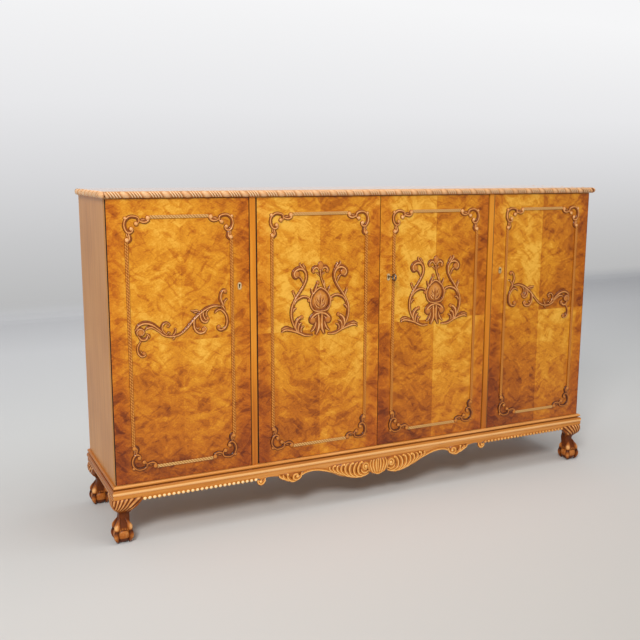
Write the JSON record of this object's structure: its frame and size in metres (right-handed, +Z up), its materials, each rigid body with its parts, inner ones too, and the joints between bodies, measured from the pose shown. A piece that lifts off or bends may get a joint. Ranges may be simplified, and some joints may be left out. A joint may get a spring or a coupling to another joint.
{
  "type": "linen cupboard",
  "caption": "Wide low linen cupboard: hinged veneered doors with applied mouldings and carved scrolls over shelved bays, gadrooned top edge, carved apron, claw-and-ball feet.",
  "frame": {"origin": "on the floor under the middle of the whole cupboard, its key included", "axes": "+Z up, +X to the right of someone facing the doors, -Y towards that person"},
  "size_m": [2.003, 0.486, 1.159],
  "materials": {
    "door_veneer": "glossy polished flame-figured veneer",
    "case_wood": "glossy polished veneer",
    "carved_wood": "polished carved wood",
    "inner_wood": "plain varnished wood",
    "brass": "dull brass",
    "nickel": "polished nickel plate",
    "lock_steel": "dark steel"
  },
  "bodies": {
    "carcass": {"left_side": "case_wood", "right_side": "case_wood", "left_stile": "case_wood", "right_stile": "case_wood", "top_board": "case_wood", "front_base_frame": "case_wood", "left_base_frame": "case_wood", "right_base_frame": "case_wood", "back_base_frame": "case_wood", "left_partition": "inner_wood", "right_partition": "inner_wood", "case_top": "inner_wood", "case_bottom": "inner_wood", "back_panels": "inner_wood", "left_lower_shelf": "inner_wood", "left_upper_shelf": "inner_wood", "centre_lower_shelf": "inner_wood", "centre_upper_shelf": "inner_wood", "right_lower_shelf": "inner_wood", "right_upper_shelf": "inner_wood", "front_gadroon": "carved_wood", "left_gadroon": "carved_wood", "right_gadroon": "carved_wood", "front_apron": "carved_wood", "left_front_foot": "carved_wood", "right_front_foot": "carved_wood", "left_back_foot": "carved_wood", "right_back_foot": "carved_wood", "shelf_pins": "brass", "hinge_case_leaves": "brass"},
    "left_door": {"left_door_panel": "door_veneer", "left_door_moulding": "carved_wood", "left_door_ornament": "carved_wood", "left_door_hinge_leaves": "brass", "left_door_lock_case": "lock_steel", "left_door_escutcheon": "nickel"},
    "centre_left_door": {"centre_left_door_panel": "door_veneer", "centre_left_door_moulding": "carved_wood", "centre_left_door_ornament": "carved_wood", "centre_left_door_hinge_leaves": "brass", "shoot_bolt_plates": "brass"},
    "centre_right_door": {"centre_right_door_panel": "door_veneer", "centre_right_door_moulding": "carved_wood", "centre_right_door_ornament": "carved_wood", "centre_right_door_hinge_leaves": "brass", "centre_right_door_lock_case": "lock_steel", "centre_right_door_escutcheon": "nickel"},
    "right_door": {"right_door_panel": "door_veneer", "right_door_moulding": "carved_wood", "right_door_ornament": "carved_wood", "right_door_hinge_leaves": "brass", "right_door_lock_case": "lock_steel", "right_door_escutcheon": "nickel"},
    "left_lock_bolt": {"left_door_lock_bolt": "lock_steel"},
    "centre_lock_bolt": {"centre_right_door_lock_bolt": "lock_steel"},
    "right_lock_bolt": {"right_door_lock_bolt": "lock_steel"},
    "top_shoot_bolt": {"top_shoot_bolt": "brass"},
    "bottom_shoot_bolt": {"bottom_shoot_bolt": "brass"},
    "key": {"key": "lock_steel"}
  },
  "joints": [
    {"name": "left_door_hinge", "type": "hinge", "parent": "carcass", "child": "left_door", "pos_m": [-0.979, -0.18, 0.6685], "axis": [0, 0, -1], "range_deg": [0, 170]},
    {"name": "centre_left_door_hinge", "type": "hinge", "parent": "carcass", "child": "centre_left_door", "pos_m": [-0.476, -0.18, 0.6685], "axis": [0, 0, -1], "range_deg": [0, 95]},
    {"name": "centre_right_door_hinge", "type": "hinge", "parent": "carcass", "child": "centre_right_door", "pos_m": [0.476, -0.18, 0.6685], "axis": [0, 0, 1], "range_deg": [0, 95]},
    {"name": "right_door_hinge", "type": "hinge", "parent": "carcass", "child": "right_door", "pos_m": [0.979, -0.18, 0.6685], "axis": [0, 0, 1], "range_deg": [0, 170]},
    {"name": "left_lock_slide", "type": "slide", "parent": "left_door", "child": "left_lock_bolt", "axis": [1, 0, 0], "range_m": [0, 0.008]},
    {"name": "centre_lock_slide", "type": "slide", "parent": "centre_right_door", "child": "centre_lock_bolt", "axis": [-1, 0, 0], "range_m": [0, 0.008]},
    {"name": "right_lock_slide", "type": "slide", "parent": "right_door", "child": "right_lock_bolt", "axis": [-1, 0, 0], "range_m": [0, 0.008]},
    {"name": "top_shoot_slide", "type": "slide", "parent": "centre_left_door", "child": "top_shoot_bolt", "axis": [0, 0, 1], "range_m": [0, 0.012]},
    {"name": "bottom_shoot_slide", "type": "slide", "parent": "centre_left_door", "child": "bottom_shoot_bolt", "axis": [0, 0, -1], "range_m": [0, 0.012]},
    {"name": "key_turn", "type": "hinge", "parent": "centre_right_door", "child": "key", "pos_m": [0.03725, -0.186, 0.843], "axis": [0, 1, 0], "range_deg": [0, 90]}
  ],
  "couplings": [
    {"joint": "centre_lock_slide", "follows": "key_turn", "m_per_rad": 0.005093}
  ]
}
